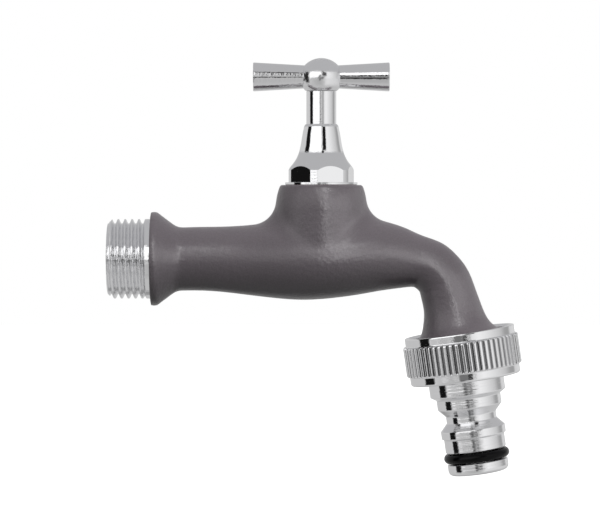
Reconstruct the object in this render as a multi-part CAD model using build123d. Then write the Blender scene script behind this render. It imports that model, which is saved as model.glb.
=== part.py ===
from build123d import *
import math
import os

os.makedirs("parts", exist_ok=True)

# A garden tap, in millimetres. X runs from the wall to the spout and Z is up. The origin is the
# centre of the collar's back face, where the tap's thread leaves the wall fitting.

# Clearances, all of them radial
running_clearance = 0.06
thread_clearance = 0.05
seal_clearance = 0.03

# Inlet thread (G 1/2) and the collar behind it
inlet_thread_diameter = 20.95
inlet_thread_length = 11.3
inlet_thread_chamfer = 1.2
inlet_bore_diameter = 12.5
collar_diameter = 24.7
collar_rim = 1.5
collar_length = 8.8
collar_root_radius = 4.0

# Arm and valve chamber
tube_diameter = 16.7
valve_x = 44.8
chamber_height = 20.8
chamber_drop = 0.4
chamber_shoulder = 0.85

# Boss over the chamber, as thick as boss_wall round the bonnet's thread
boss_wall = 3.72
boss_lean = 1.25
boss_top_z = 19.45
boss_side_height = 6.45
boss_rim_radius = 0.6
boss_fillet = 6.5

# Spout: its axis passes the point (outlet_x, outlet_z) and leans out by outlet_tilt degrees; the
# bend turns round a centre that lies bend_back behind that axis and bend_up above that point
outlet_x = 81.1
outlet_z = -19.3
outlet_tilt = 8.2
bend_back = 11.3
bend_up = 11.1
bend_inner_radius = 2.6
bend_thickness = 13.7
neck_diameter = 14.5
passage_diameter = 9.0

# Outlet thread (G 3/4), placed along the spout's axis from the point (outlet_x, outlet_z)
outlet_thread_diameter = 26.3
outlet_thread_start = 0.6
outlet_thread_length = 6.3
outlet_thread_lead_in = 2.0
outlet_mouth_diameter = 15.0

# Valve seat and the chambers above and below it
seat_z = 3.2
seat_bore_diameter = 9.0
seat_lip_width = 1.5
seat_lip_height = 0.7
chamber_gap = 0.6
lower_chamber_floor_z = -8.2

# Jumper, seat washer and washer nut
washer_margin = 0.7
washer_thickness = 3.0
jumper_rim = 0.2
jumper_disc_thickness = 2.0
jumper_stem_diameter = 5.0
jumper_stem_length = 7.0
stud_diameter = 4.0
stud_end = 0.5
washer_nut_width = 6.4
washer_nut_thickness = 2.0
valve_lift = 4.5
lift_spare = 0.2

# Bonnet and its gasket
bonnet_thread_diameter = 16.66
bonnet_flange_margin = 0.2
bonnet_flange_thickness = 0.6
gasket_width = 0.97
gasket_thickness = 1.0
gasket_proud = 0.05
hexagon_width = 16.0
hexagon_corner_diameter = 17.45
hexagon_height = 3.2
hexagon_turn = 17.0
flare_height = 8.1
bonnet_height = 15.3
bonnet_neck_diameter = 10.3
bonnet_top_diameter = 9.2

# Spindle and its two rubber rings
spindle_thread_diameter = 11.5
spindle_thread_length = 12.3
spindle_diameter = 7.84
spindle_reach = 8.6
spindle_square = 4.8
spindle_square_length = 4.9
spindle_ring_section = 1.1
spindle_ring_rise = 2.0
spindle_ring_spacing = 2.2

# T-handle and its screw
handle_gap = 0.1
hub_height = 6.36
hub_foot_diameter = 8.1
hub_edge_diameter = 9.5
hub_dome_height = 2.3
hub_foot_radius = 0.5
handle_span = 35.8
arm_root_diameter = 6.0
arm_end_diameter = 7.6
arm_rise = 3.7
screw_diameter = 3.0
screw_head_diameter = 5.2
screw_cone_height = 1.1
screw_length = 9.0
screw_slot_width = 0.9
screw_slot_depth = 1.0

# Union nut: a plain rim, a ribbed band and a plain foot whose floor lifts the nozzle's collar
nut_rim_start = -0.2
nut_rim_height = 2.2
nut_rim_diameter = 29.0
nut_rib_diameter = 30.5
nut_rib_count = 60
nut_rib_depth = 0.5
nut_rib_chamfer = 0.35
nut_foot_height = 2.4
nut_floor_thickness = 1.6
nut_corner_radius = 0.6

# Outlet washer and nozzle, from the collar down to the tip
outlet_washer_thickness = 2.0
nozzle_bore_diameter = 9.5
nozzle_collar_diameter = 24.6
nozzle_collar_thickness = 2.0
nozzle_shank_diameter = 19.9
nozzle_shank_length = 5.3
nozzle_chamfer_length = 0.95
nozzle_step_diameter = 16.95
nozzle_step_length = 2.55
nozzle_cone_length = 2.05
nozzle_neck_diameter = 13.25
nozzle_neck_length = 1.7
nozzle_ring_diameter = 17.0
nozzle_ring_length = 1.95
nozzle_body_diameter = 15.95
nozzle_body_length = 3.75
nozzle_tip_length = 3.0
nozzle_tip_radius = 1.3
hose_ring_diameter = 17.3
hose_ring_section = 2.62
hose_ring_groove_width = 3.15

# Widths that follow from the sizes above
boss_diameter = bonnet_thread_diameter + 2 * boss_wall
chamber_width = boss_diameter + 2 * chamber_shoulder
seat_lip_diameter = seat_bore_diameter + 2 * seat_lip_width
washer_diameter = seat_lip_diameter + 2 * washer_margin
jumper_disc_diameter = washer_diameter + 2 * jumper_rim
upper_chamber_diameter = jumper_disc_diameter + 2 * chamber_gap
gasket_diameter = bonnet_thread_diameter + 2 * gasket_width
bonnet_flange_diameter = gasket_diameter + 2 * bonnet_flange_margin

# Heights on the valve's axis that follow from the sizes above
seat_floor_z = seat_z - seat_lip_height
jumper_foot_z = seat_z + washer_thickness
jumper_top_z = jumper_foot_z + jumper_disc_thickness
bonnet_foot_z = jumper_top_z + valve_lift + 2 * lift_spare
spindle_thread_top_z = jumper_top_z + spindle_thread_length
spindle_shoulder_z = spindle_thread_top_z + valve_lift + lift_spare
gasket_foot_z = boss_top_z - gasket_thickness + gasket_proud
gasket_top_z = gasket_foot_z + gasket_thickness
bonnet_flange_top_z = gasket_top_z + bonnet_flange_thickness
hexagon_top_z = bonnet_flange_top_z + hexagon_height
bonnet_top_z = bonnet_flange_top_z + bonnet_height
spindle_top_z = bonnet_top_z + spindle_reach
square_top_z = spindle_top_z + spindle_square_length
handle_foot_z = spindle_top_z + handle_gap
hub_edge_z = handle_foot_z + hub_height
dome_radius = (hub_edge_diameter**2 / 4 + hub_dome_height**2) / (2 * hub_dome_height)
dome_centre_z = hub_edge_z + hub_dome_height - dome_radius

# Places on the spout's axis that follow from the sizes above
outlet_thread_end = outlet_thread_start + outlet_thread_length
nozzle_start = outlet_thread_end + outlet_washer_thickness
nozzle_collar_end = nozzle_start + nozzle_collar_thickness
nut_foot_end = nozzle_collar_end + nut_floor_thickness
nut_rib_start = nut_rim_start + nut_rim_height
nut_rib_end = nut_foot_end - nut_foot_height
nozzle_shank_end = nozzle_collar_end + nozzle_shank_length
nozzle_step_start = nozzle_shank_end + nozzle_chamfer_length
nozzle_step_end = nozzle_step_start + nozzle_step_length
nozzle_neck_start = nozzle_step_end + nozzle_cone_length
nozzle_neck_end = nozzle_neck_start + nozzle_neck_length
nozzle_ring_start = nozzle_neck_end + nozzle_cone_length
nozzle_ring_end = nozzle_ring_start + nozzle_ring_length
nozzle_groove_start = nozzle_ring_end + nozzle_body_length
nozzle_groove_end = nozzle_groove_start + hose_ring_groove_width
nozzle_end = nozzle_groove_end + nozzle_tip_length

# Two frames that pieces are placed in: the valve's axis, and the spout's axis with its Z running
# out of the spout
valve_axis = Pos(valve_x, 0, 0)
outlet_lean = math.radians(outlet_tilt)
outlet_frame = Plane(
    origin=(outlet_x, 0, outlet_z),
    x_dir=(math.cos(outlet_lean), 0, math.sin(outlet_lean)),
    z_dir=(math.sin(outlet_lean), 0, -math.cos(outlet_lean)),
)
outlet_axis = outlet_frame.location
bend_centre = outlet_frame.from_local_coords(Vector(-bend_back, 0, -bend_up))
arm_run = bend_centre.X - valve_x
bend_reach = bend_inner_radius + bend_thickness / 2
neck_reach = bend_inner_radius + neck_diameter / 2
neck_offset = neck_reach - bend_back


def turned(*edges):
    """A solid turned about Z from an outline drawn as (radius, height)."""
    return revolve(Plane.XZ * make_face(edges), Axis.Z)


def turned_points(*points):
    """A solid turned about Z from a closed outline of straight lines."""
    return turned(Polyline(*points, close=True))


def rod(diameter, z_from, z_to):
    """A plain round rod about Z."""
    return Pos(0, 0, z_from) * extrude(Circle(diameter / 2), z_to - z_from)


def tube(outer_diameter, inner_diameter, z_from, z_to):
    """A plain washer or tube about Z."""
    face = Circle(outer_diameter / 2) - Circle(inner_diameter / 2)
    return Pos(0, 0, z_from) * extrude(face, z_to - z_from)


def hexagon_bar(width, z_from, z_to):
    """A hexagon bar about Z, by its width across flats, with two flats square to Y."""
    hexagon = RegularPolygon(width / 2, 6, major_radius=False)
    return Pos(0, 0, z_from) * extrude(hexagon, z_to - z_from)


def square_bar(width, z_from, z_to, diameter):
    """A square bar about Z with its corners turned down to a diameter."""
    bar = Pos(0, 0, z_from) * extrude(Rectangle(width, width), z_to - z_from)
    return bar & rod(diameter, z_from, z_to)


def rubber_ring(outer_diameter, section, z):
    """A rubber ring of round section about Z."""
    return Pos(0, 0, z) * Torus((outer_diameter - section) / 2, section / 2)


def slice_of(x, z, heading, height, width):
    """An oval cross-section of the casting, square to a heading in degrees above the X axis."""
    angle = math.radians(heading)
    plane = Plane(
        origin=(x, 0, z),
        x_dir=(math.sin(angle), 0, -math.cos(angle)),
        z_dir=(math.cos(angle), 0, math.sin(angle)),
    )
    return Face(Wire(Edge.make_ellipse(height / 2, width / 2, plane, start_angle=0, end_angle=360)))


def bend_slice(angle, reach, height, width):
    """A cross-section at an angle about the centre of the bend, with its middle at that reach."""
    turn = math.radians(angle)
    x = bend_centre.X + reach * math.cos(turn)
    z = bend_centre.Z + reach * math.sin(turn)
    return slice_of(x, z, angle - 90, height, width)


def outlet_slice(place, offset, diameter):
    """A round cross-section of the spout, at a place along its axis."""
    middle = outlet_frame.from_local_coords(Vector(offset, 0, place))
    return slice_of(middle.X, middle.Z, outlet_tilt - 90, diameter, diameter)


def arm_and_spout():
    """The arm swells into the valve chamber, tapers to the bend and flares into the outlet."""
    arm = tube_diameter
    bend = bend_thickness
    neck = neck_diameter
    flare = outlet_thread_diameter - neck_diameter
    return loft([
        slice_of(collar_length - 3, 0, 0, arm, arm),
        slice_of(collar_length + 2, 0, 0, arm, arm),
        slice_of(collar_length + 8, -0.06, 0, arm + 0.3, arm + 0.3),
        slice_of(0.55 * valve_x, -0.75 * chamber_drop, -1, arm + 1.5, arm + 1.9),
        slice_of(0.71 * valve_x, -0.9 * chamber_drop, -1, 0.95 * chamber_height, 0.84 * chamber_width),
        slice_of(0.89 * valve_x, -chamber_drop, 0, chamber_height, 0.96 * chamber_width),
        slice_of(valve_x + 4, 0.15, 1, chamber_height - 0.1, 0.97 * chamber_width),
        slice_of(valve_x + 0.5 * arm_run, 0.8, -3, 0.96 * chamber_height, 0.87 * chamber_width),
        slice_of(valve_x + 0.7 * arm_run, 0.6, -7, 0.875 * chamber_height, 0.76 * chamber_width),
        slice_of(valve_x + 0.9 * arm_run, 0.1, -9, bend + 2.3, bend + 2.5),
        bend_slice(78, bend_reach, bend, bend + 0.9),
        bend_slice(60, bend_reach, bend, bend + 0.6),
        bend_slice(42, bend_reach, bend, bend + 0.6),
        bend_slice(25, bend_reach + 0.2, bend + 0.2, bend + 0.6),
        bend_slice(outlet_tilt, neck_reach, neck, neck),
        outlet_slice(-7, 0.6 * neck_offset, neck + 0.05 * flare),
        outlet_slice(-4, 0.5 * neck_offset, neck + 0.15 * flare),
        outlet_slice(-2, 0.42 * neck_offset, neck + 0.27 * flare),
        outlet_slice(-0.6, 0.25 * neck_offset, neck + 0.41 * flare),
        outlet_slice(outlet_thread_start + 0.3, 0, neck + 0.65 * flare),
    ])


def collar():
    """The collar flares from the arm to a flat face that closes on the wall fitting."""
    root_radius = tube_diameter / 2 - 0.3
    root_x = collar_length - 1.6
    return Rot(0, 90, 0) * turned_points(
        (0, 0),
        (collar_diameter / 2, 0),
        (collar_diameter / 2, collar_rim),
        (root_radius, root_x),
        (0, root_x),
    )


def boss():
    """The boss stands up from the chamber and leans in towards its mouth."""
    radius = boss_diameter / 2
    mouth = radius - boss_lean
    lean_z = boss_top_z - boss_side_height
    side = TangentArc((radius, lean_z), (mouth, boss_top_z), tangent=(0, 1))
    rest = Polyline((mouth, boss_top_z), (0, boss_top_z), (0, 0), (radius, 0), (radius, lean_z))
    return valve_axis * turned(side, rest)


def inlet_spigot():
    """The threaded inlet, at its major diameter, with its lead-in chamfer."""
    spigot = Rot(0, -90, 0) * rod(inlet_thread_diameter, -collar_rim, inlet_thread_length)
    return chamfer(spigot.faces().sort_by(Axis.X)[0].edges(), inlet_thread_chamfer)


def outlet_spigot():
    """The threaded outlet that the union nut screws on, at its major diameter."""
    radius = outlet_thread_diameter / 2
    end_chamfer = 0.6
    return outlet_axis * turned_points(
        (0, outlet_thread_start - 1),
        (radius - outlet_thread_lead_in, outlet_thread_start),
        (radius, outlet_thread_start + 0.6 * outlet_thread_lead_in),
        (radius, outlet_thread_end - end_chamfer),
        (radius - end_chamfer, outlet_thread_end),
        (0, outlet_thread_end),
    )


def inlet_waterway():
    """The straight inlet bore, then the passage that dips under the valve seat."""
    bore_end = 0.58 * valve_x
    dip_diameter = 0.9 * seat_bore_diameter
    dip_z = lower_chamber_floor_z + dip_diameter / 2
    dip = loft([
        slice_of(bore_end, 0, 0, inlet_bore_diameter, inlet_bore_diameter),
        slice_of(0.8 * valve_x, 0.75 * dip_z, -12, dip_diameter + 0.7, dip_diameter + 1.5),
        slice_of(valve_x, dip_z, 0, dip_diameter, dip_diameter),
    ])
    bore = Rot(0, 90, 0) * rod(inlet_bore_diameter, -inlet_thread_length, bore_end)
    chamber = rod(seat_bore_diameter + 2, lower_chamber_floor_z, seat_floor_z - 3)
    seat_bore = rod(seat_bore_diameter, lower_chamber_floor_z + 1, seat_z)
    return bore + dip + valve_axis * (chamber + seat_bore)


def outlet_waterway():
    """The passage from the chamber above the seat, round the bend and out of the spout."""
    bore = passage_diameter
    mouth_radius = outlet_mouth_diameter / 2
    passage = loft([
        slice_of(valve_x + 5, seat_floor_z + bore / 2, -18, bore, bore),
        slice_of(valve_x + 0.55 * arm_run, 4.4, -20, bore, bore),
        slice_of(valve_x + 0.82 * arm_run, 1.9, -20, bore, bore),
        bend_slice(70, bend_reach, bore, bore),
        bend_slice(40, bend_reach, bore, bore),
        bend_slice(outlet_tilt, neck_reach, bore, bore),
        outlet_slice(-4, 0.5 * neck_offset, bore),
        outlet_slice(0.5, 0, bore),
    ])
    mouth = turned_points(
        (0, 0),
        (bore / 2, 0),
        (mouth_radius, mouth_radius - bore / 2),
        (mouth_radius, outlet_thread_end),
        (0, outlet_thread_end),
    )
    return passage + outlet_axis * mouth


def valve_chamber():
    """The space above the seat, the bonnet's threaded hole and the recess for its gasket."""
    space = rod(upper_chamber_diameter, seat_floor_z, boss_top_z)
    seat_lip = tube(seat_lip_diameter, seat_bore_diameter, seat_floor_z, seat_z)
    thread_foot_z = bonnet_foot_z - 2.5
    thread = rod(bonnet_thread_diameter + 2 * thread_clearance, thread_foot_z, boss_top_z)
    recess = rod(gasket_diameter + 2 * seal_clearance, gasket_foot_z, boss_top_z)
    return valve_axis * (space - seat_lip + thread + recess)


def tap_body():
    """The casting: inlet, collar, arm, chamber, boss, bend and outlet, with its waterways."""
    arm = arm_and_spout() + collar()
    collar_root = arm.edges().filter_by(lambda edge: collar_rim + 1 < edge.center().X < collar_length - 1)
    arm = fillet(collar_root, collar_root_radius)
    outside = arm + boss()
    boss_root = outside.edges().filter_by(
        lambda edge: edge.geom_type == GeomType.BSPLINE and abs(edge.center().Z) > 6
        and 0.5 * valve_x < edge.center().X < 1.5 * valve_x
    )
    outside = fillet(boss_root, boss_fillet)
    outside = fillet(outside.edges().group_by(Axis.Z)[-1], boss_rim_radius)
    outside = outside + inlet_spigot() + outlet_spigot()
    return outside - inlet_waterway() - outlet_waterway() - valve_chamber()


def bonnet():
    """The headwork body: threaded foot, flange, hexagon with turned corners and a flared neck."""
    thread_radius = bonnet_thread_diameter / 2
    thread_end = 0.8
    flange_radius = bonnet_flange_diameter / 2
    corner_radius = hexagon_corner_diameter / 2
    neck_radius = bonnet_neck_diameter / 2
    top_radius = bonnet_top_diameter / 2
    crown = 0.5
    crown_z = bonnet_top_z - 1.1
    shaft_bore = spindle_diameter / 2 + running_clearance
    thread_bore = spindle_thread_diameter / 2 + running_clearance
    lower_side = Polyline(
        (thread_bore, bonnet_foot_z),
        (thread_radius - thread_end, bonnet_foot_z),
        (thread_radius, bonnet_foot_z + thread_end),
        (thread_radius, gasket_top_z),
        (flange_radius, gasket_top_z),
        (flange_radius, bonnet_flange_top_z),
        (corner_radius, bonnet_flange_top_z),
        (corner_radius, hexagon_top_z),
    )
    flare_run = corner_radius - neck_radius
    flare = Spline(
        (corner_radius, hexagon_top_z),
        (neck_radius + 0.5 * flare_run, hexagon_top_z + 0.3 * flare_height),
        (neck_radius + 0.1 * flare_run, hexagon_top_z + 0.75 * flare_height),
        (neck_radius, hexagon_top_z + flare_height),
        (top_radius, crown_z),
        tangents=[(-0.6, 1), (-0.25, 1)],
    )
    top_arc = ThreePointArc(
        (top_radius, crown_z),
        (top_radius - 0.4 * crown, crown_z + 0.65 * (bonnet_top_z - crown_z)),
        (top_radius - crown, bonnet_top_z),
    )
    inner_side = Polyline(
        (top_radius - crown, bonnet_top_z),
        (shaft_bore, bonnet_top_z),
        (shaft_bore, spindle_shoulder_z),
        (thread_bore, spindle_shoulder_z),
        (thread_bore, bonnet_foot_z),
    )
    body = turned(lower_side, flare, top_arc, inner_side)
    flats_top_z = hexagon_top_z + 0.4 * flare_height
    around = rod(2 * bonnet_flange_diameter, bonnet_flange_top_z, flats_top_z)
    flats = around - hexagon_bar(hexagon_width, bonnet_flange_top_z, flats_top_z)
    return valve_axis * Rot(0, 0, hexagon_turn) * (body - flats)


def bonnet_gasket():
    """The fibre ring that seals the bonnet's flange."""
    bore = bonnet_thread_diameter + 2 * seal_clearance
    return valve_axis * tube(gasket_diameter, bore, gasket_foot_z, gasket_top_z)


def spindle_ring_heights():
    """Where the two rubber rings sit on the spindle's shaft."""
    lower_z = spindle_shoulder_z + spindle_ring_rise
    return lower_z, lower_z + spindle_ring_spacing


def spindle():
    """Threaded foot with a socket for the jumper, grooved shaft and a square end for the handle."""
    foot_radius = spindle_thread_diameter / 2
    shaft_radius = spindle_diameter / 2
    edge = 0.7
    body = turned_points(
        (0, jumper_top_z),
        (foot_radius - edge, jumper_top_z),
        (foot_radius, jumper_top_z + edge),
        (foot_radius, spindle_thread_top_z - edge),
        (foot_radius - edge, spindle_thread_top_z),
        (shaft_radius, spindle_thread_top_z),
        (shaft_radius, spindle_top_z),
        (0, spindle_top_z),
    )
    square = square_bar(spindle_square, spindle_top_z, square_top_z, spindle_diameter)
    socket_top_z = jumper_top_z + jumper_stem_length + 0.8
    socket = rod(jumper_stem_diameter + 2 * running_clearance, jumper_top_z, socket_top_z)
    screw_end_z = dome_z(screw_head_diameter / 2) - screw_length
    screw_hole = rod(screw_diameter + 2 * thread_clearance, screw_end_z - 1, square_top_z)
    groove_root = spindle_diameter - 2 * spindle_ring_section
    groove_width = 1.35 * spindle_ring_section
    body = body + square - socket - screw_hole
    for z in spindle_ring_heights():
        body = body - tube(2 * spindle_diameter, groove_root, z - groove_width / 2, z + groove_width / 2)
    return valve_axis * body


def spindle_ring(z):
    """A rubber ring in one of the spindle's grooves, just clear of the bonnet's bore."""
    outer_diameter = spindle_diameter + 2 * (running_clearance - seal_clearance)
    return valve_axis * rubber_ring(outer_diameter, spindle_ring_section, z)


def jumper():
    """The valve disc, with its stem in the spindle's foot and its stud through the washer."""
    disc = rod(jumper_disc_diameter, jumper_foot_z, jumper_top_z)
    disc = chamfer(disc.edges().group_by(Axis.Z)[-1], 0.5)
    stem = rod(jumper_stem_diameter, jumper_top_z, jumper_top_z + jumper_stem_length)
    stem = chamfer(stem.edges().group_by(Axis.Z)[-1], 0.5)
    stud = rod(stud_diameter, seat_z - washer_nut_thickness - stud_end, jumper_foot_z)
    return valve_axis * (disc + stem + stud)


def seat_washer():
    """The rubber washer that closes on the seat."""
    return valve_axis * tube(washer_diameter, stud_diameter + 2 * seal_clearance, seat_z, jumper_foot_z)


def washer_nut():
    """The small nut that holds the seat washer, clear inside the seat's bore."""
    foot_z = seat_z - washer_nut_thickness
    hole = rod(stud_diameter + 2 * thread_clearance, foot_z, seat_z)
    return valve_axis * (hexagon_bar(washer_nut_width, foot_z, seat_z) - hole)


def dome_z(radius):
    """The height of the hub's dome at a radius."""
    return dome_centre_z + math.sqrt(dome_radius**2 - radius**2)


def dome_arc(radius):
    """The arc of the hub's dome, from a radius to the middle of its top."""
    return ThreePointArc((radius, dome_z(radius)), (radius / 2, dome_z(radius / 2)), (0, dome_z(0)))


def t_handle():
    """A round hub under a dome, with two flared arms, a square socket and a countersunk hole."""
    edge_radius = hub_edge_diameter / 2
    foot_radius = hub_foot_diameter / 2
    along_dome = (hub_edge_z - dome_centre_z, -edge_radius)
    side = TangentArc((edge_radius, hub_edge_z), (foot_radius, handle_foot_z), tangent=along_dome)
    rest = Polyline((foot_radius, handle_foot_z), (0, handle_foot_z), (0, dome_z(0)))
    hub = turned(dome_arc(edge_radius), side, rest)
    hub = fillet(hub.faces().sort_by(Axis.Z)[0].edges(), hub_foot_radius)
    arm = Rot(0, 90, 0) * turned_points(
        (0, 0),
        (arm_root_diameter / 2, 0),
        (arm_root_diameter / 2, 0.8 * edge_radius),
        (arm_end_diameter / 2, handle_span / 2),
        (0, handle_span / 2),
    )
    arm = chamfer(arm.faces().sort_by(Axis.X)[-1].edges(), 0.15)
    arm = Pos(0, 0, handle_foot_z + arm_rise) * arm
    socket_diameter = spindle_diameter + 2 * running_clearance
    socket_width = spindle_square + 2 * running_clearance
    socket = square_bar(socket_width, handle_foot_z, square_top_z, socket_diameter)
    return valve_axis * (hub + arm + Rot(0, 0, 180) * arm - socket - screw_hole())


def screw_hole():
    """The countersunk hole through the top of the hub."""
    head_radius = screw_head_diameter / 2 + thread_clearance
    shank_radius = screw_diameter / 2 + thread_clearance
    head_z = dome_z(screw_head_diameter / 2)
    return turned_points(
        (0, handle_foot_z),
        (shank_radius, handle_foot_z),
        (shank_radius, head_z - screw_cone_height),
        (head_radius, head_z),
        (head_radius, dome_z(0)),
        (0, dome_z(0)),
    )


def handle_screw():
    """A raised countersunk screw with a straight slot; its head carries on the hub's dome."""
    head_radius = screw_head_diameter / 2
    shank_radius = screw_diameter / 2
    head_z = dome_z(head_radius)
    side = Polyline(
        (0, dome_z(0)),
        (0, head_z - screw_length),
        (shank_radius, head_z - screw_length),
        (shank_radius, head_z - screw_cone_height),
        (head_radius, head_z),
    )
    slot = Pos(0, 0, dome_z(0)) * Box(2 * screw_head_diameter, screw_slot_width, 2 * screw_slot_depth)
    return valve_axis * (turned(side, dome_arc(head_radius)) - slot)


def rib_outline():
    """The nut's ribbed section: round-topped ribs with a round-bottomed groove between them."""
    crest = nut_rib_diameter / 2
    root = crest - nut_rib_depth
    flank = (crest + root) / 2
    rib_share = 0.56
    pitch = 360 / nut_rib_count
    edges = []
    for index in range(nut_rib_count):
        start = Vector(flank, 0).rotate(Axis.Z, index * pitch)
        top = Vector(crest, 0).rotate(Axis.Z, (index + rib_share / 2) * pitch)
        middle = Vector(flank, 0).rotate(Axis.Z, (index + rib_share) * pitch)
        bottom = Vector(root, 0).rotate(Axis.Z, (index + (1 + rib_share) / 2) * pitch)
        end = Vector(flank, 0).rotate(Axis.Z, (index + 1) * pitch)
        edges += [ThreePointArc(start, top, middle), ThreePointArc(middle, bottom, end)]
    return make_face(edges)


def union_nut():
    """The ribbed nut, with a plain band above and below its ribs and a floor for the collar."""
    thread_bore = outlet_thread_diameter + 2 * running_clearance
    shank_bore = nozzle_shank_diameter + 2 * running_clearance
    core = rod(nut_rim_diameter, nut_rim_start, nut_foot_end)
    core = chamfer(core.edges().group_by(Axis.Z)[0], 0.2)
    core = fillet(core.edges().group_by(Axis.Z)[-1], nut_corner_radius)
    ribs = Pos(0, 0, nut_rib_start) * extrude(rib_outline(), nut_rib_end - nut_rib_start)
    envelope = rod(nut_rib_diameter, nut_rib_start, nut_rib_end)
    envelope = chamfer(envelope.edges().filter_by(GeomType.CIRCLE), nut_rib_chamfer)
    lead_in = 0.6
    bore = rod(thread_bore, nut_rim_start, nozzle_collar_end)
    bore = bore + turned_points(
        (0, nut_rim_start),
        (thread_bore / 2 + lead_in, nut_rim_start),
        (thread_bore / 2, nut_rim_start + lead_in),
        (0, nut_rim_start + lead_in),
    )
    solid = core + (ribs & envelope) - bore - rod(shank_bore, nut_rim_start, nut_foot_end)
    return outlet_axis * solid


def nozzle():
    """The quick-connect nozzle: collar, stepped shank, catch groove, ring, seal groove and tip."""
    bore = nozzle_bore_diameter / 2
    collar_radius = nozzle_collar_diameter / 2
    shank = nozzle_shank_diameter / 2
    step = nozzle_step_diameter / 2
    neck = nozzle_neck_diameter / 2
    ring = nozzle_ring_diameter / 2
    body = nozzle_body_diameter / 2
    groove_root = hose_ring_diameter / 2 - hose_ring_section
    ring_foot = 0.3
    side = Polyline(
        (body - nozzle_tip_radius, nozzle_end),
        (bore, nozzle_end),
        (bore, nozzle_start),
        (collar_radius, nozzle_start),
        (collar_radius, nozzle_collar_end),
        (shank, nozzle_collar_end),
        (shank, nozzle_shank_end),
        (step, nozzle_step_start),
        (step, nozzle_step_end),
        (neck, nozzle_neck_start),
        (neck, nozzle_neck_end),
        (ring, nozzle_ring_start),
        (ring, nozzle_ring_end),
        (body, nozzle_ring_end + ring_foot),
        (body, nozzle_groove_start),
        (groove_root, nozzle_groove_start),
        (groove_root, nozzle_groove_end),
        (body, nozzle_groove_end),
        (body, nozzle_end - nozzle_tip_radius),
    )
    tip = TangentArc(
        (body, nozzle_end - nozzle_tip_radius), (body - nozzle_tip_radius, nozzle_end), tangent=(0, 1)
    )
    return outlet_axis * turned(side, tip)


def hose_ring():
    """The rubber ring that seals the nozzle in a hose connector, just clear of its groove."""
    place = (nozzle_groove_start + nozzle_groove_end) / 2
    return outlet_axis * rubber_ring(hose_ring_diameter, hose_ring_section - seal_clearance, place)


def outlet_washer():
    """The flat rubber washer between the spout's end and the nozzle's collar."""
    washer = tube(nozzle_collar_diameter, outlet_mouth_diameter, outlet_thread_end, nozzle_start)
    return outlet_axis * washer


# One node for each piece
lower_ring_z, upper_ring_z = spindle_ring_heights()
nodes = {
    "tap_body": tap_body(),
    "bonnet": bonnet(),
    "bonnet_gasket": bonnet_gasket(),
    "spindle": spindle(),
    "lower_spindle_o_ring": spindle_ring(lower_ring_z),
    "upper_spindle_o_ring": spindle_ring(upper_ring_z),
    "jumper": jumper(),
    "seat_washer": seat_washer(),
    "washer_nut": washer_nut(),
    "t_handle": t_handle(),
    "handle_screw": handle_screw(),
    "union_nut": union_nut(),
    "nozzle": nozzle(),
    "nozzle_o_ring": hose_ring(),
    "outlet_washer": outlet_washer(),
}
for name, piece in nodes.items():
    export_step(piece, f"parts/{name}.step")
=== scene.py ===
import math

import bmesh
import bpy
from mathutils import Matrix, Vector


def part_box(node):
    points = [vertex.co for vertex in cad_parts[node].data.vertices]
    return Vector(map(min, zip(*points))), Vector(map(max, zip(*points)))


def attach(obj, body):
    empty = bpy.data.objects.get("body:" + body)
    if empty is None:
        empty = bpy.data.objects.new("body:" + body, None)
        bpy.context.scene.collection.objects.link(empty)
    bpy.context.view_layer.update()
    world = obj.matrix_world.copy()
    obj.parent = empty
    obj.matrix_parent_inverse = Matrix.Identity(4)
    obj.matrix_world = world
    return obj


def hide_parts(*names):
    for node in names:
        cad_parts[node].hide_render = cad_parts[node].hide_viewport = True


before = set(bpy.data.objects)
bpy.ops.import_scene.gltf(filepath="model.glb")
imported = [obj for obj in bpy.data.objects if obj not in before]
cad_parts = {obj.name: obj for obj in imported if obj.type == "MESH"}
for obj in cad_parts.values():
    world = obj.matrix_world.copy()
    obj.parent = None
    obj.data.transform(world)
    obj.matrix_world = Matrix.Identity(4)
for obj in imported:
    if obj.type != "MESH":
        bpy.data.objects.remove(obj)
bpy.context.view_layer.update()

MM = 0.001

# All sizes are in millimetres, and those of the solids are as in the part's source

# Inlet and outlet threads, which the solids have as plain cylinders
PITCH = 1.814
THREAD_DEPTH = 1.162
THREAD_FADE = 0.8
THREAD_COLUMNS = 192
RINGS_PER_PITCH = 18
BORE_CHAMFER = 0.3

# Places along the inlet's axis are measured from the row's origin towards the wall
INLET_ROOT = -1.0
INLET_START = 1.1
INLET_END = 11.3
INLET_RADIUS = 10.475
INLET_CHAMFER = 1.2
INLET_BORE_RADIUS = 6.25
INLET_SHIFT = 0.5

# Places along the spout's axis, here and below, are measured from this point on the way out
OUTLET_X = 81.1
OUTLET_Z = -19.3
OUTLET_LEAN = math.radians(8.2)
OUTLET_ROOT = 0.9
OUTLET_START = 1.4
OUTLET_END = 6.9
OUTLET_RADIUS = 13.15
OUTLET_CHAMFER = 0.6
MOUTH_RADIUS = 7.5

INLET_FRAME = Matrix(((0, 0, -1, 0), (0, 1, 0, 0), (1, 0, 0, 0), (0, 0, 0, 1)))
OUTLET_FRAME = Matrix((
    (math.cos(OUTLET_LEAN), 0, math.sin(OUTLET_LEAN), OUTLET_X * MM),
    (0, -1, 0, 0),
    (math.sin(OUTLET_LEAN), 0, -math.cos(OUTLET_LEAN), OUTLET_Z * MM),
    (0, 0, 0, 1),
))

# Casting: where it ends on the inlet and the spout, how far the bars reach that cut its threaded
# ends off, and how it is softened
INLET_SHOULDER = 0
OUTLET_SHOULDER = 1.2
CUT_REACH = 20
VOXEL = 0.42
SOFTEN_PASSES = 6

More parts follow.
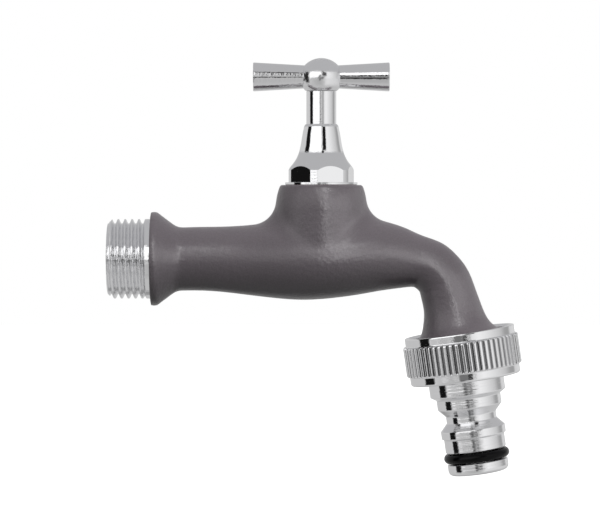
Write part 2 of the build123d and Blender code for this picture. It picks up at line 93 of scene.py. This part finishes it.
# Union nut. Its ribs are cut a little deeper than the solid's.
NUT_START = -0.2
RIB_START = 2.0
RIB_END = 10.1
NUT_FLOOR = 10.9
NUT_END = 12.5
NUT_CHAMFER = 0.6
RIM_RADIUS = 14.5
RIB_RADIUS = 15.25
RIB_DEPTH = 0.6
RIB_COUNT = 60
THREAD_BORE_RADIUS = 13.21
SHANK_BORE_RADIUS = 10.01

# The rim's and the foot's rounded edges: place from that end of the nut, radius against the rim's
RIM_EDGE = [(0, -0.4), (0, -0.25), (0.07, -0.07), (0.25, 0), (0.4, 0)]
FOOT_EDGE = [
    (-0.75, 0), (-0.6, 0), (-0.36, -0.05), (-0.18, -0.18), (-0.05, -0.36), (0, -0.6), (0, -0.8),
]

# The step at either end of the ribs: place outwards from that end, radius against the rim's
RIB_STEP = [(0.25, 0), (0.1, 0), (0, 0.06)]

# The ribs' ends: place inwards from that end, radius against the grooves', share of a rib's height
RIB_FADE = [(0.03, 0.1, 0), (0.12, 0.05, 0.62), (0.3, 0, 0.9), (0.55, 0, 1), (0.7, 0, 1)]

# Across one rib and one groove, a slightly crowned top, steep sides and a rounded bottom:
# share of the way, share of a rib's height
RIB_PROFILE = [
    (0.0, 0.9), (0.03, 0.945), (0.1, 0.98), (0.18, 0.995), (0.25, 1.0), (0.32, 0.995),
    (0.4, 0.98), (0.47, 0.945), (0.5, 0.9), (0.54, 0.6), (0.58, 0.25), (0.63, 0.06),
    (0.69, 0.01), (0.75, 0.0), (0.81, 0.01), (0.87, 0.06), (0.92, 0.25), (0.96, 0.6),
]

# Nozzle: each step of its outside, as the radius at its end and its length
NOZZLE_START = 8.9
NOZZLE_BORE_RADIUS = 4.75
NOZZLE_TIP_RADIUS = 1.3
NOZZLE_TIP_STEPS = 5
NOZZLE_STEPS = [
    (12.3, 0), (12.3, 2.0), (9.95, 0), (9.95, 5.3),
    (8.475, 0.95), (8.475, 2.55), (6.625, 2.05), (6.625, 1.7), (8.5, 2.05), (8.5, 1.95),
    (7.975, 0.3), (7.975, 3.45), (6.03, 0), (6.03, 3.15), (7.975, 0), (7.975, 3.0),
]
LATHE_BEVEL = 0.09
LATHE_COLUMNS = 120

# Handle: its middle, how far its dull hub reaches from there along the arms, and how far from the
# ends of the arms the ripples stop
HANDLE_X = 44.8
HUB_REACH = 4.6
HUB_BLEND = 0.4
HANDLE_END_MARGIN = 0.4
HANDLE_END_BLEND = 0.1


# Node helpers

class Tree:
    """Adds nodes to a material's or the world's tree and links them as it goes."""

    def __init__(self, owner, clear=True):
        owner.use_nodes = True
        self.tree = owner.node_tree
        if clear:
            self.tree.nodes.clear()

    def add(self, kind, values=None, **settings):
        node = self.tree.nodes.new("ShaderNode" + kind)
        for key, value in settings.items():
            setattr(node, key, value)
        for socket, value in (values or {}).items():
            if isinstance(value, bpy.types.NodeSocket):
                self.tree.links.new(value, node.inputs[socket])
            else:
                node.inputs[socket].default_value = value
        return node

    def math(self, operation, *values):
        return self.add("Math", dict(enumerate(values)), operation=operation).outputs[0]

    def vector(self, operation, *values):
        return self.add("VectorMath", dict(enumerate(values)), operation=operation).outputs[0]

    def axes(self, vector):
        """The three parts of a vector."""
        return self.add("SeparateXYZ", {0: vector}).outputs

    def local(self, place, axes, origin=(0, 0, 0)):
        """A place as coordinates along these axes."""
        values = {0: place, "Location": origin, "Rotation": axes.to_euler()}
        return self.add("Mapping", values, vector_type="TEXTURE").outputs[0]

    def rise(self, value, low, high):
        """A smooth step from 0 at low to 1 at high; low may be the larger of the two."""
        values = {0: value, 1: low, 2: high}
        return self.add("MapRange", values, interpolation_type="SMOOTHSTEP").outputs[0]

    def band(self, value, low, high, soft):
        """1 between low and high, with soft edges."""
        inner = self.rise(value, low - soft, low + soft)
        return self.math("MULTIPLY", inner, self.rise(value, high + soft, high - soft))

    def vary(self, pattern, middle, spread):
        """A value that strays from its middle as a pattern does."""
        return self.math("MULTIPLY_ADD", pattern, spread, middle - spread / 2)

    def mix(self, factor, low, high):
        node = self.add("Mix", {0: factor}, data_type="RGBA")
        for index, value in ((6, low), (7, high)):
            if isinstance(value, bpy.types.NodeSocket):
                self.tree.links.new(value, node.inputs[index])
            else:
                node.inputs[index].default_value = (*value, 1)
        return node.outputs[2]

    def ramp(self, factor, stops):
        """Grey levels along a factor, from stops of its value and the level there."""
        node = self.add("ValToRGB", {0: factor})
        elements = node.color_ramp.elements
        while len(elements) < len(stops):
            elements.new(0.5)
        for element, (place, level) in zip(elements, stops):
            element.position = place
            element.color = (level, level, level, 1)
        return node.outputs[0]

    def noise(self, place, scale, detail=2.0, roughness=0.5):
        """Noise in space, with scale as its cells in a unit of length."""
        values = {"Vector": place, "Scale": scale, "Detail": detail, "Roughness": roughness}
        return self.add("TexNoise", values).outputs["Fac"]

    def lines(self, along, scale, detail):
        """Noise along one number."""
        values = {"W": along, "Scale": scale, "Detail": detail}
        return self.add("TexNoise", values, noise_dimensions="1D").outputs[0]

    def bump(self, height, distance, strength=1.0, normal=None):
        values = {"Height": height, "Distance": distance * MM, "Strength": strength}
        if normal is not None:
            values["Normal"] = normal
        return self.add("Bump", values).outputs[0]

    def principled(self, values):
        shader = self.add("BsdfPrincipled", values)
        self.add("OutputMaterial", {0: shader.outputs[0]})


def colour(*levels):
    """Screen levels from 0 to 255 as linear light."""
    shares = [level / 255 for level in levels]
    return tuple(s / 12.92 if s <= 0.04045 else ((s + 0.055) / 1.055) ** 2.4 for s in shares)


# Materials. Noise scales are in cells to a metre, and bump distances in millimetres.

PLATE_TINT = (0.80, 0.80, 0.81)
INLET_TINT = (0.82, 0.82, 0.83)
# Painted shade: the dark colour of the plate in the bottoms of the nut's grooves
GROOVE_SHADE = (0.24, 0.24, 0.245)
COAT_DARK = colour(110, 103, 108)
COAT_LIGHT = colour(123, 115, 121)
EDGE_RADIUS = 0.12
HUB_ROUGHNESS = 0.13

# Ripples: scale and bump distance
POLISHED_RIPPLE = (2600, 0.01)
CAST_RIPPLE = (1500, 0.03)

# Painted shade in the nut's grooves: how far down a rib the plate starts to darken and is all dark,
# as shares of a rib's height, and how far inside the ribs' ends that starts
GROOVE_SHADE_TOP = 0.35
GROOVE_SHADE_BOTTOM = 0.95
GROOVE_SHADE_MARGIN = 0.2


def new_material(name):
    """A material, its tree and the place on the object."""
    material = bpy.data.materials.new(name)
    tree = Tree(material)
    return material, tree, tree.add("TexCoord").outputs["Object"]


def powder_coat():
    """Matt grey coat with an orange peel, fine specks and faint clouds."""
    material, t, place = new_material("powder_coat")
    peel = t.noise(place, 900)
    speck = t.noise(place, 3200, 3.0, 0.6)
    cloud = t.noise(place, 60)
    shade = t.math("ADD", t.math("MULTIPLY", speck, 0.7), t.math("MULTIPLY", cloud, 0.3))
    t.principled({
        "Base Color": t.mix(t.ramp(shade, [(0.36, 0.0), (0.64, 1.0)]), COAT_DARK, COAT_LIGHT),
        "Roughness": t.vary(peel, 0.32, 0.16),
        "Normal": t.bump(speck, 0.02, 0.6, t.bump(peel, 0.1, 0.9)),
        "Specular IOR Level": 0.5,
    })
    return material


def chrome(name, axes=None, marks=0.0, tint=PLATE_TINT, roughness=0.05, ripples=POLISHED_RIPPLE,
           handle=False):
    """Chrome plate with softened edges, slight waves and fine ripples.

    With axes, it keeps turning marks round their Z, and marks is how deep they are. The handle's
    plate has no ripples on the flat ends of its arms, and its cast hub is duller.
    """
    material, t, place = new_material(name)
    edge = t.add("Bevel", {"Radius": EDGE_RADIUS * MM}, samples=6).outputs[0]
    wave = t.noise(place, 260)
    scale, distance = ripples
    ripple = t.noise(place, scale)
    rough = t.vary(t.noise(place, 900, 3.0, 0.6), roughness, 0.05)
    if handle:
        across = t.math("SUBTRACT", t.axes(place)[0], HANDLE_X * MM)
        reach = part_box("t_handle")[1][0] - (HANDLE_X + HANDLE_END_MARGIN) * MM
        arms = t.band(across, -reach, reach, HANDLE_END_BLEND * MM)
        ripple = t.math("MULTIPLY", ripple, arms)
        hub = t.band(across, -HUB_REACH * MM, HUB_REACH * MM, HUB_BLEND * MM)
        rough = t.math("ADD", rough, t.math("MULTIPLY", hub, HUB_ROUGHNESS))
    normal = t.bump(ripple, distance, 1.0, t.bump(wave, 0.01, 0.5, edge))
    if axes is not None:
        along = t.axes(t.local(place, axes))[2]
        normal = t.bump(t.lines(along, 2000, 3.0), 0.06, marks, normal)
    t.principled({
        "Base Color": (*tint, 1), "Metallic": 1.0, "Roughness": rough, "Normal": normal,
    })
    return material


def ribbed_plate():
    """Chrome plate with painted shade that darkens it in the bottoms of the nut's grooves."""
    material = chrome("chrome_ribbed")
    t = Tree(material, clear=False)
    shader = next(node for node in t.tree.nodes if node.type == "BSDF_PRINCIPLED")
    place = t.add("TexCoord").outputs["Object"]
    local = t.local(place, OUTLET_FRAME, OUTLET_FRAME.translation)
    out = t.vector("MULTIPLY", local, (1, 1, 0))
    radius = t.add("VectorMath", {0: out}, operation="LENGTH").outputs["Value"]
    bottom = (RIB_RADIUS - GROOVE_SHADE_BOTTOM * RIB_DEPTH) * MM
    top = (RIB_RADIUS - GROOVE_SHADE_TOP * RIB_DEPTH) * MM
    start, end = (RIB_START + GROOVE_SHADE_MARGIN) * MM, (RIB_END - GROOVE_SHADE_MARGIN) * MM
    ribs = t.band(t.axes(local)[2], start, end, GROOVE_SHADE_MARGIN * MM)
    # Painted shade: the plate darkens towards the bottoms of the grooves
    groove_shade = t.math("MULTIPLY", ribs, t.math("SUBTRACT", 1.0, t.rise(radius, bottom, top)))
    t.tree.links.new(t.mix(groove_shade, PLATE_TINT, GROOVE_SHADE), shader.inputs["Base Color"])
    return material


def mottled(name, dark, light, metallic, roughness, scale, specular=0.5):
    """A plain surface with fine mottling: cut brass, moulded rubber or pressed fibre."""
    material, t, place = new_material(name)
    grain = t.noise(place, scale, 3.0, 0.55)
    t.principled({
        "Base Color": t.mix(t.ramp(grain, [(0.35, 0.0), (0.65, 1.0)]), dark, light),
        "Metallic": metallic,
        "Roughness": t.vary(grain, roughness, 0.14),
        "Normal": t.bump(grain, 0.02, 0.5),
        "Specular IOR Level": specular,
    })
    return material


coat = powder_coat()
plate = chrome("chrome_plate")
nut_plate = ribbed_plate()
turned_plate = chrome("chrome_turned", OUTLET_FRAME, 0.8)
handle_plate = chrome("chrome_handle", ripples=CAST_RIPPLE, handle=True)
valve_plate = chrome("chrome_valve", Matrix.Identity(4), 0.12)
inlet_plate = chrome("chrome_inlet", tint=INLET_TINT, roughness=0.065, ripples=CAST_RIPPLE)
brass = mottled("cut_brass", colour(172, 136, 74), colour(205, 170, 104), 1.0, 0.32, 1500)
rubber = mottled("moulded_rubber", colour(5, 5, 6), colour(9, 9, 10), 0.0, 0.22, 1800, 0.12)
fibre = mottled("pressed_fibre", colour(120, 44, 34), colour(158, 66, 50), 0.0, 0.8, 2600)


# Mesh helpers

def add_object(name, data):
    """A new object in the scene."""
    thing = bpy.data.objects.new(name, data)
    bpy.context.scene.collection.objects.link(thing)
    return thing


def dress(piece, material):
    """Gives a piece this material alone."""
    piece.data.materials.clear()
    piece.data.materials.append(material)


def circle(radius, z, count):
    """A ring of points round Z."""
    turns = [2 * math.pi * i / count for i in range(count)]
    return [(radius * math.cos(a), radius * math.sin(a), z) for a in turns]


def grid_object(name, rings, to_row):
    """A closed skin over rings of points, each joined to the next and the last to the first."""
    count = len(rings[0])
    points = [to_row @ (Vector(p) * MM) for ring in rings for p in ring]
    faces = []
    for r in range(len(rings)):
        here, after = r * count, (r + 1) % len(rings) * count
        for c in range(count):
            d = (c + 1) % count
            faces.append((here + c, here + d, after + d, after + c))
    mesh = bpy.data.meshes.new(name)
    mesh.from_pydata(points, [], faces)
    edit = bmesh.new()
    edit.from_mesh(mesh)
    bmesh.ops.recalc_face_normals(edit, faces=edit.faces)
    edit.to_mesh(mesh)
    edit.free()
    mesh.polygons.foreach_set("use_smooth", [True] * len(mesh.polygons))
    mesh.set_sharp_from_angle(angle=math.radians(35))
    return add_object(name, mesh)


# Pieces

def cutter(name, start, to_row):
    """A plain bar that cuts the casting off at start."""
    edit = bmesh.new()
    bmesh.ops.create_cone(
        edit, cap_ends=True, segments=64, radius1=CUT_REACH * MM, radius2=CUT_REACH * MM,
        depth=(CUT_REACH - start) * MM,
        matrix=Matrix.Translation((0, 0, (start + CUT_REACH) / 2 * MM)),
    )
    mesh = bpy.data.meshes.new(name)
    edit.to_mesh(mesh)
    edit.free()
    mesh.transform(to_row)
    return add_object(name, mesh)


def casting():
    """The coated casting: the CAD body without its two threaded ends, with softened edges."""
    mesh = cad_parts["tap_body"].data.copy()
    edit = bmesh.new()
    edit.from_mesh(mesh)
    bmesh.ops.remove_doubles(edit, verts=edit.verts, dist=1e-7)
    edit.to_mesh(mesh)
    edit.free()
    piece = add_object("casting", mesh)
    bars = [
        cutter("inlet_cut", INLET_SHOULDER, INLET_FRAME),
        cutter("outlet_cut", OUTLET_SHOULDER, OUTLET_FRAME),
    ]
    for bar in bars:
        cut = piece.modifiers.new("cut", "BOOLEAN")
        cut.operation = "DIFFERENCE"
        cut.solver = "EXACT"
        cut.object = bar
    remesh = piece.modifiers.new("remesh", "REMESH")
    remesh.mode = "VOXEL"
    remesh.voxel_size = VOXEL * MM
    soften = piece.modifiers.new("soften", "SMOOTH")
    soften.factor = 0.5
    soften.iterations = SOFTEN_PASSES

    bpy.context.view_layer.update()
    graph = bpy.context.evaluated_depsgraph_get()
    mesh = bpy.data.meshes.new_from_object(piece.evaluated_get(graph))
    piece.modifiers.clear()
    piece.data = mesh
    for bar in bars:
        bpy.data.objects.remove(bar)
    mesh.polygons.foreach_set("use_smooth", [True] * len(mesh.polygons))
    return piece


def thread_height(turns):
    """How far a rounded 55 degree thread stands out, from 0 at its root to 1 at its crest."""
    slope = abs(2 * (turns % 1.0) - 1)
    height = min(1.0, max(0.0, (slope - 1 / 6) * 1.5))
    rounded = height * height * (3 - 2 * height)
    return 0.55 * height + 0.45 * rounded


def threaded_end(name, to_row, bore, crest, root_place, start, end, chamfer, shift=0.0):
    """A threaded pipe end, along Z from its root inside the casting out to its end face.

    The thread starts at start and grows to its full depth over THREAD_FADE.
    """
    rings = [
        circle(bore, root_place, THREAD_COLUMNS),
        circle(bore, end - BORE_CHAMFER, THREAD_COLUMNS),
        circle(bore + BORE_CHAMFER, end, THREAD_COLUMNS),
    ]
    steps = int((end - start) / PITCH * RINGS_PER_PITCH)
    for step in reversed(range(steps + 1)):
        z = start + (end - start) * step / steps
        full = min(1.0, (z - start) / THREAD_FADE)
        ring = []
        for column in range(THREAD_COLUMNS):
            turn = column / THREAD_COLUMNS
            depth = THREAD_DEPTH * (1 - thread_height((z + shift) / PITCH - turn)) * full
            radius = min(crest - depth, crest - chamfer + (end - z))
            a = 2 * math.pi * turn
            ring.append((radius * math.cos(a), radius * math.sin(a), z))
        rings.append(ring)
    rings.append(circle(crest, root_place, THREAD_COLUMNS))
    return grid_object(name, rings, to_row)


def ribbed_nut():
    """The union nut along its axis: plain rim, ribs that fade in and out, plain foot and bore."""
    root = RIB_RADIUS - RIB_DEPTH
    outline = [(NUT_START, THREAD_BORE_RADIUS + NUT_CHAMFER, 0)]
    outline += [(NUT_START + z, RIM_RADIUS + r, 0) for z, r in RIM_EDGE]
    outline += [(RIB_START - z, RIM_RADIUS + r, 0) for z, r in RIB_STEP]
    outline += [(RIB_START + z, root + r, share) for z, r, share in RIB_FADE]
    outline += [(RIB_END - z, root + r, share) for z, r, share in reversed(RIB_FADE)]
    outline += [(RIB_END + z, RIM_RADIUS + r, 0) for z, r in reversed(RIB_STEP)]
    outline += [(NUT_END + z, RIM_RADIUS + r, 0) for z, r in FOOT_EDGE]
    outline += [
        (NUT_END, SHANK_BORE_RADIUS, 0), (NUT_FLOOR, SHANK_BORE_RADIUS, 0),
        (NUT_FLOOR, THREAD_BORE_RADIUS, 0), (NUT_START + NUT_CHAMFER, THREAD_BORE_RADIUS, 0),
    ]
    rings = []
    for z, radius, share in outline:
        ring = []
        for rib in range(RIB_COUNT):
            for phase, height in RIB_PROFILE:
                a = (rib + phase) * 2 * math.pi / RIB_COUNT
                r = radius + share * (RIB_RADIUS - radius) * height
                ring.append((r * math.cos(a), r * math.sin(a), z))
        rings.append(ring)
    return grid_object("ribbed_nut", rings, OUTLET_FRAME)


def lathe(name, corners, to_row):
    """A turned piece from its section's corners (radius, place), each cut by a small bevel.

    A second point behind each end of the bevel keeps the shading of the faces beside it flat.
    """
    points = []
    for i, corner in enumerate(corners):
        here = Vector(corner)
        steps = []
        for other in (corners[i - 1], corners[(i + 1) % len(corners)]):
            way = Vector(other) - here
            steps.append(way.normalized() * min(LATHE_BEVEL, way.length / 5))
        back, on = steps
        points += [here + back * 2, here + back, here + on, here + on * 2]
    rings = [circle(radius, z, LATHE_COLUMNS) for radius, z in points]
    return grid_object(name, rings, to_row)


def turned_nozzle():
    """The quick-connect nozzle: collar, stepped shank, catch groove, ring, seal groove and tip."""
    place = NOZZLE_START
    corners = [(NOZZLE_BORE_RADIUS, place)]
    for radius, length in NOZZLE_STEPS:
        place += length
        corners.append((radius, place))
    centre = corners.pop()[0] - NOZZLE_TIP_RADIUS
    for step in range(NOZZLE_TIP_STEPS + 1):
        a = math.radians(90 * step / NOZZLE_TIP_STEPS)
        radius = centre + NOZZLE_TIP_RADIUS * math.cos(a)
        corners.append((radius, place - NOZZLE_TIP_RADIUS * (1 - math.sin(a))))
    corners.append((NOZZLE_BORE_RADIUS, place))
    return lathe("turned_nozzle", corners, OUTLET_FRAME)


body = casting()
dress(body, coat)
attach(body, "tap")
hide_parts("tap_body")

inlet = threaded_end(
    "inlet_thread", INLET_FRAME, INLET_BORE_RADIUS, INLET_RADIUS, INLET_ROOT, INLET_START,
    INLET_END, INLET_CHAMFER, INLET_SHIFT,
)
dress(inlet, inlet_plate)
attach(inlet, "tap")

outlet = threaded_end(
    "outlet_thread", OUTLET_FRAME, MOUTH_RADIUS, OUTLET_RADIUS, OUTLET_ROOT, OUTLET_START,
    OUTLET_END, OUTLET_CHAMFER,
)
dress(outlet, inlet_plate)
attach(outlet, "tap")

nut = ribbed_nut()
dress(nut, nut_plate)
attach(nut, "nut")
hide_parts("union_nut")

turned = turned_nozzle()
dress(turned, turned_plate)
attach(turned, "hose_nozzle")
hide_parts("nozzle")

finishes = {
    "bonnet": valve_plate,
    "bonnet_gasket": fibre,
    "spindle": valve_plate,
    "lower_spindle_o_ring": rubber,
    "upper_spindle_o_ring": rubber,
    "jumper": brass,
    "seat_washer": rubber,
    "washer_nut": brass,
    "t_handle": handle_plate,
    "handle_screw": plate,
    "union_nut": plate,
    "nozzle": turned_plate,
    "nozzle_o_ring": rubber,
    "outlet_washer": rubber,
}
for node, material in finishes.items():
    dress(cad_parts[node], material)


# The room that metal shows, which is fixed in space. A place in it is given by the slope of the
# mirror in which someone in front of the tap sees it: side is the mirror's turn to the right, lift
# is how far it leans back, both in degrees. A level of 1 is white.

# Round the walls: side, level
WALLS = [
    (-90, 0.62), (-75, 0.70), (-49.5, 0.72), (-48, 0.008), (-35, 0.008), (-33, 1.3), (-10, 1.3),
    (2, 0.75), (10, 0.9), (18, 1.05), (26, 0.95), (35, 0.81), (45, 0.66), (53, 0.42), (60, 0.40),
    (64, 0.75), (78, 0.8), (90, 0.62),
]
# Round the ground: side, level
GROUND = [
    (-90, 0.6), (-34, 0.66), (-8, 0.50), (-1, 0.50), (6, 0.60), (14, 0.9), (40, 0.8), (90, 0.6),
]
# The ground far below: lift, level, and the lifts between which it takes over
LOW_GROUND = [(-90, 0.6), (-66, 0.62), (-62, 0.35), (-56, 0.35), (-50, 0.6), (-30, 0.6)]
LOW_GROUND_EDGE = (-20.0, -34.0)
GROUND_EDGE = (-2.5, -5.5)

# The dark wall on the left reaches down over the ground, and its right edge is ragged there
DARK_LEFT_EDGE = (-48.5, -46.5)
DARK_RIGHT_EDGE = (-33.0, -35.5)
DARK_FOOT = (-20.0, -16.0)
RAGGED_BELOW = (0.0, -3.0)
RAGGED_BY = 14.0

# Panels, each over what comes before it: side from and to, lift from and to, soft edge, level
BRIGHT_PANEL = (-31.0, -0.5, 5.0, 18.0, 1.0, 1.5)
PANELS = [
    (1.0, 10.0, -1.0, 3.0, 1.0, 0.5),
    (-6.0, -1.0, -11.0, 7.0, 1.0, 0.012),
    (3.5, 13.0, 4.0, 16.0, 1.0, 0.012),
    (-6.5, -1.0, 0.0, 1.6, 0.4, 0.6),
    (-7.5, 3.0, -5.5, -0.9, 1.0, 0.2),
]
SPOTS = [(1.0, 6.5, 16.5, 20.0, 0.6, 0.02), (2.0, 6.5, -4.2, -0.8, 0.6, 0.02)]
# Shelves of uneven levels: the panel, and the level for a value of the noise
SHELVES = (-27.0, 6.0, -7.0, -0.9, 1.0)
SHELF_LEVELS = [(0.40, 0.10), (0.58, 1.0)]
CEILING = (0.53, 0.53, 0.54)
CEILING_EDGE = (17.5, 19.5)
# The wall behind the tap: its edge is given by how much of a direction points straight away
BACK_WALL = (0.62, 0.62, 0.62)
BACK_WALL_EDGE = (0.85, 0.995)

# Light on matt surfaces: height from 0, straight down, to 1, straight up, and level, and how much
# brighter it gets to the right
SKY = [(0.0, 0.0), (0.47, 0.0), (0.55, 0.46), (1.0, 0.64)]
SKY_TO_RIGHT = 0.3

# Stage sizes, in metres, and the picture's width and scale
MIDDLE = Vector((0.04, 0, 0))
FLOOR_Z = -0.16
FLOOR_REACH = 3.0
EYE = Vector((0.0392, -0.75, 0.018))
TARGET = Vector((0.0392, 0, 0.0006))
SENSOR_MM = 36
PICTURE_WIDTH = 600
DOTS_PER_MM = 3.8


def floor_material():
    """A pale floor that keeps the object's shadow and throws little light back up."""
    material, t, place = new_material("pale_floor")
    path = t.add("LightPath").outputs
    mirrored = t.math("MAXIMUM", path["Is Glossy Ray"], path["Is Transmission Ray"])
    seen = t.math("MAXIMUM", path["Is Camera Ray"], mirrored)
    grain = t.mix(t.noise(place, 40), (0.84, 0.84, 0.84), (0.88, 0.88, 0.88))
    surface = t.add("BsdfDiffuse", {"Color": grain})
    glow = t.add("Emission", {"Color": (1, 1, 1, 1), "Strength": 0.75})
    lit = t.add("AddShader", {0: surface.outputs[0], 1: glow.outputs[0]})
    bounce = t.add("BsdfDiffuse", {"Color": (0.03, 0.03, 0.03, 1)})
    both = t.add("MixShader", {0: seen, 1: bounce.outputs[0], 2: lit.outputs[0]})
    t.add("OutputMaterial", {0: both.outputs[0]})
    return material


def floor():
    edit = bmesh.new()
    bmesh.ops.create_grid(edit, x_segments=1, y_segments=1, size=FLOOR_REACH)
    mesh = bpy.data.meshes.new("floor")
    edit.to_mesh(mesh)
    edit.free()
    plane = add_object("floor", mesh)
    plane.location = (MIDDLE.x, 0, FLOOR_Z)
    plane.visible_glossy = False
    dress(plane, floor_material())


def studio():
    """White to the camera, a soft sky on matt surfaces, and light and dark walls in metal."""
    world = bpy.data.worlds.new("studio")
    bpy.context.scene.world = world
    t = Tree(world)
    direction = t.add("TexCoord").outputs["Generated"]
    right, away, up = t.axes(direction)
    mirror = t.vector("NORMALIZE", t.vector("SUBTRACT", direction, (0.0, 1.0, 0.0)))
    facing = t.axes(mirror)
    towards = t.math("MULTIPLY", facing[1], -1.0)
    side = t.math("MULTIPLY", t.math("ARCTAN2", facing[0], towards), math.degrees(1))
    lift = t.math("MULTIPLY", t.math("ARCSINE", facing[2]), math.degrees(1))

    def spread(angle, stops):
        share = t.math("MULTIPLY_ADD", angle, 1 / 180, 0.5)
        return t.ramp(share, [(place / 180 + 0.5, level) for place, level in stops])

    def patch(left, right, low, high, soft):
        return t.math("MULTIPLY", t.band(side, left, right, soft), t.band(lift, low, high, soft))

    def cover(shown, *panels):
        for *sides, level in panels:
            shown = t.mix(patch(*sides), shown, (level, level, level))
        return shown

    shown = cover(spread(side, WALLS), BRIGHT_PANEL)
    low_ground = spread(lift, LOW_GROUND)
    ground = t.mix(t.rise(lift, *LOW_GROUND_EDGE), spread(side, GROUND), low_ground)
    ragged = t.math("SUBTRACT", t.lines(lift, 0.8, 2.0), 0.5)
    ragged = t.math("MULTIPLY", ragged, t.rise(lift, *RAGGED_BELOW))
    edge = t.math("MULTIPLY_ADD", ragged, RAGGED_BY, side)
    dark = t.math("MULTIPLY", t.rise(side, *DARK_LEFT_EDGE), t.rise(edge, *DARK_RIGHT_EDGE))
    dark = t.math("MULTIPLY", dark, t.rise(lift, *DARK_FOOT))
    below = t.math("MULTIPLY", t.rise(lift, *GROUND_EDGE), t.math("SUBTRACT", 1.0, dark))
    shown = t.mix(below, shown, ground)
    shelves = t.ramp(t.lines(lift, 0.32, 1.5), SHELF_LEVELS)
    shown = t.mix(patch(*SHELVES), shown, shelves)
    shown = cover(shown, *PANELS)
    shown = t.mix(t.rise(lift, *CEILING_EDGE), shown, CEILING)
    shown = cover(shown, *SPOTS)
    shown = t.mix(t.rise(away, *BACK_WALL_EDGE), shown, BACK_WALL)

    sky = t.ramp(t.math("MULTIPLY_ADD", up, 0.5, 0.5), SKY)
    brighter_right = t.math("MULTIPLY_ADD", right, SKY_TO_RIGHT, 1.0)
    in_metal = t.add("Background", {0: shown})
    on_matt = t.add("Background", {0: sky, 1: brighter_right})
    white = t.add("Background", {0: (1, 1, 1, 1)})
    path = t.add("LightPath").outputs
    mirrored = t.math("MAXIMUM", path["Is Glossy Ray"], path["Is Transmission Ray"])
    unseen = t.add("MixShader", {0: mirrored, 1: on_matt.outputs[0], 2: in_metal.outputs[0]})
    both = t.add("MixShader", {0: path["Is Camera Ray"], 1: unseen.outputs[0], 2: white.outputs[0]})
    t.add("OutputWorld", {0: both.outputs[0]})


def lamp(name, azimuth, elevation, distance, size, watts, gloss_on=None):
    """A soft lamp that faces the tap, with its angles in degrees and its sizes in metres.

    It lights every piece and shows in none. With gloss_on, it is only a gloss on that piece.
    """
    light = bpy.data.lights.new(name, "AREA")
    light.shape = "RECTANGLE"
    light.size, light.size_y = size
    light.energy = watts
    a, e = math.radians(azimuth), math.radians(elevation)
    back = Vector((math.sin(a) * math.cos(e), -math.cos(a) * math.cos(e), math.sin(e)))
    holder = add_object(name, light)
    holder.location = MIDDLE + back * distance
    holder.rotation_euler = back.to_track_quat("Z", "Y").to_euler()
    holder.visible_glossy = gloss_on is not None
    holder.visible_diffuse = gloss_on is None
    if gloss_on is not None:
        lit = bpy.data.collections.new(name + "_lights")
        lit.objects.link(gloss_on)
        holder.light_linking.receiver_collection = lit


def camera():
    """Level with the bonnet and square to the tap's side."""
    data = bpy.data.cameras.new("camera")
    data.sensor_width = SENSOR_MM
    data.lens = SENSOR_MM * (EYE - TARGET).length / (PICTURE_WIDTH / DOTS_PER_MM * MM)
    data.clip_start = 0.01
    data.clip_end = 20
    holder = add_object("camera", data)
    holder.location = EYE
    holder.rotation_euler = (TARGET - EYE).to_track_quat("-Z", "Y").to_euler()
    bpy.context.scene.camera = holder


floor()
studio()
lamp("key", 30, 38, 1.0, (0.4, 0.4), 2.2)
lamp("panel", 42, 8, 1.2, (1.6, 0.55), 6.0, gloss_on=body)
lamp("strip", 4, 38, 1.0, (0.5, 0.12), 1.0, gloss_on=body)
lamp("left", -80, 6, 1.0, (0.6, 0.8), 1.3, gloss_on=body)
lamp("right", 100, 8, 1.0, (0.9, 0.6), 1.2, gloss_on=body)
lamp("glint", 11, 22, 1.0, (0.11, 0.85), 2.6, gloss_on=body)
lamp("soft", 14, 50, 1.0, (0.6, 0.6), 0.6)
camera()
bpy.context.scene.view_settings.view_transform = "Standard"
